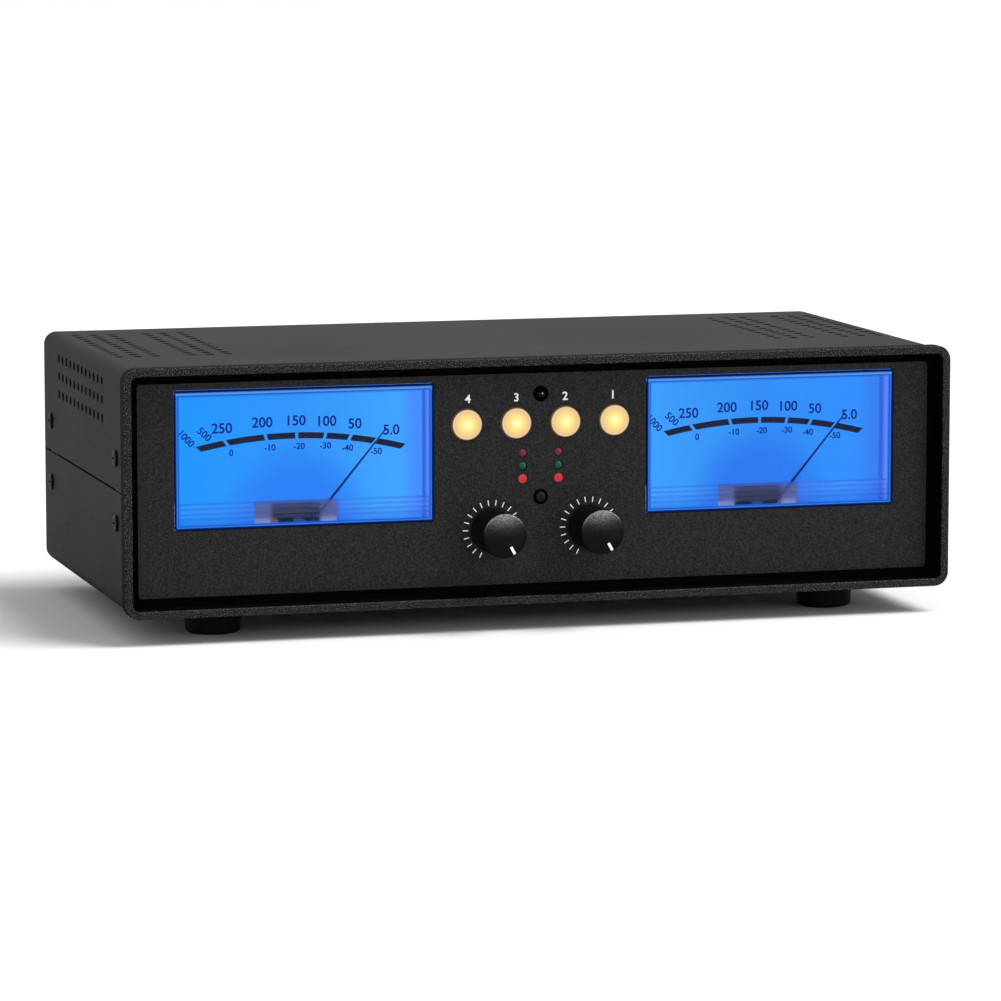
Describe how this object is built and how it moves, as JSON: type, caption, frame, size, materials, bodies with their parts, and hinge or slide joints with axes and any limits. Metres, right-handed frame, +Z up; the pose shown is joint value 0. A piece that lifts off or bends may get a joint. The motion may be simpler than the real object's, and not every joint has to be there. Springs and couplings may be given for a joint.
{
  "type": "analog vu meter",
  "caption": "Desktop level meter: folded black steel case, recessed front plate with backlit needle meters, lit push buttons, indicator lamps, rotary knobs and rear phono sockets.",
  "frame": {"origin": "centre of the whole unit's box in plan, on the surface its feet stand on", "axes": "+X to the right seen from the front, +Y away from the viewer towards the sockets, +Z up"},
  "size_m": [0.2802, 0.1582, 0.0893],
  "materials": {
    "shell_paint": "black fine-grain powder coat on folded sheet steel",
    "bezel_plastic": "black spark-textured moulding",
    "plate_paint": "black fine-grain coat on aluminium plate",
    "zinc_steel": "zinc plated",
    "black_screw": "black zinc screws",
    "foot_rubber": "moulded rubber",
    "clear_plastic": "clear moulded acrylic",
    "white_plastic": "white reflective housing",
    "dial_sheet": "printed translucent sheet, lit blue from behind",
    "needle_paint": "black painted aluminium",
    "copper_wire": "enamelled copper coil and bronze hairspring",
    "magnet_alloy": "bare magnet alloy",
    "soft_iron": "plated soft iron",
    "frame_plastic": "moulded bearing frame",
    "lamp_strip": "lamp strip, lit",
    "brass_turned": "turned brass",
    "amber_plastic": "translucent cap, lit amber from behind",
    "black_plastic": "black moulding",
    "dark_lens": "infrared-passing lens",
    "red_lens_dull": "red lens, unlit",
    "green_lens": "green lens, unlit",
    "red_lens_lit": "red lens, lit",
    "board_laminate": "green solder-masked laminate",
    "knob_plastic": "black moulding",
    "shaft_metal": "turned and plated metal",
    "relay_plastic": "relay and capacitor shells",
    "nickel_plate": "nickel plated brass",
    "red_plastic": "red insulator",
    "cream_plastic": "white insulator"
  },
  "bodies": {
    "chassis": {"top_cover": "shell_paint", "bottom_tray": "shell_paint", "front_bezel": "bezel_plastic", "front_panel": "plate_paint", "rear_panel": "shell_paint", "joining_plates": "zinc_steel", "side_screws": "black_screw", "rear_screws": "black_screw", "panel_nuts": "zinc_steel", "foot_front_left": "foot_rubber", "foot_front_right": "foot_rubber", "foot_rear_left": "foot_rubber", "foot_rear_right": "foot_rubber", "underside_screws": "zinc_steel", "meter_cover_left": "clear_plastic", "meter_cover_right": "clear_plastic", "meter_case_left": "white_plastic", "meter_case_right": "white_plastic", "dial_plate_left": "dial_sheet", "dial_plate_right": "dial_sheet", "core_magnet_left": "magnet_alloy", "core_magnet_right": "magnet_alloy", "yoke_left": "soft_iron", "yoke_right": "soft_iron", "bearing_frame_left": "frame_plastic", "bearing_frame_right": "frame_plastic", "backlights": "lamp_strip", "meter_terminals": "brass_turned", "switches": "black_plastic", "ir_receiver": "dark_lens", "leds_upper": "red_lens_dull", "leds_middle": "green_lens", "leds_lower": "red_lens_lit", "control_board": "board_laminate", "board_posts": "brass_turned", "board_screws": "zinc_steel", "pot_bodies": "shaft_metal", "main_board": "board_laminate", "standoffs": "brass_turned", "relays": "relay_plastic", "phono_shells": "nickel_plate", "phono_blocks": "black_plastic", "phono_collars_red": "red_plastic", "phono_collars_white": "cream_plastic", "dc_inlet": "black_plastic"},
    "movement_left": {"needle_left": "needle_paint", "moving_coil_left": "copper_wire"},
    "movement_right": {"needle_right": "needle_paint", "moving_coil_right": "copper_wire"},
    "channel_1": {"channel_button_1": "amber_plastic"},
    "channel_2": {"channel_button_2": "amber_plastic"},
    "channel_3": {"channel_button_3": "amber_plastic"},
    "channel_4": {"channel_button_4": "amber_plastic"},
    "mode": {"mode_button": "black_plastic"},
    "control_left": {"knob_left": "knob_plastic", "pot_shaft_left": "shaft_metal"},
    "control_right": {"knob_right": "knob_plastic", "pot_shaft_right": "shaft_metal"}
  },
  "joints": [
    {"name": "needle_left_swing", "type": "hinge", "parent": "chassis", "child": "movement_left", "pos_m": [-0.0792, -0.0516, 0.0303], "axis": [0, -1, 0], "range_deg": [-9, 88], "stiffness_Nm_per_rad": 0.0004},
    {"name": "needle_right_swing", "type": "hinge", "parent": "chassis", "child": "movement_right", "pos_m": [0.0792, -0.0516, 0.0303], "axis": [0, -1, 0], "range_deg": [-9, 88], "stiffness_Nm_per_rad": 0.0004},
    {"name": "channel_button_1_press", "type": "slide", "parent": "chassis", "child": "channel_1", "axis": [0, 1, 0], "range_m": [0, 0.0005], "stiffness_N_per_m": 400},
    {"name": "channel_button_2_press", "type": "slide", "parent": "chassis", "child": "channel_2", "axis": [0, 1, 0], "range_m": [0, 0.0005], "stiffness_N_per_m": 400},
    {"name": "channel_button_3_press", "type": "slide", "parent": "chassis", "child": "channel_3", "axis": [0, 1, 0], "range_m": [0, 0.0005], "stiffness_N_per_m": 400},
    {"name": "channel_button_4_press", "type": "slide", "parent": "chassis", "child": "channel_4", "axis": [0, 1, 0], "range_m": [0, 0.0005], "stiffness_N_per_m": 400},
    {"name": "mode_button_press", "type": "slide", "parent": "chassis", "child": "mode", "axis": [0, 1, 0], "range_m": [0, 0.0004], "stiffness_N_per_m": 400},
    {"name": "knob_left_turn", "type": "hinge", "parent": "chassis", "child": "control_left", "pos_m": [-0.0165, -0.0716, 0.03245], "axis": [0, -1, 0], "range_deg": [0, 300]},
    {"name": "knob_right_turn", "type": "hinge", "parent": "chassis", "child": "control_right", "pos_m": [0.0165, -0.0716, 0.03245], "axis": [0, -1, 0], "range_deg": [0, 300]}
  ]
}
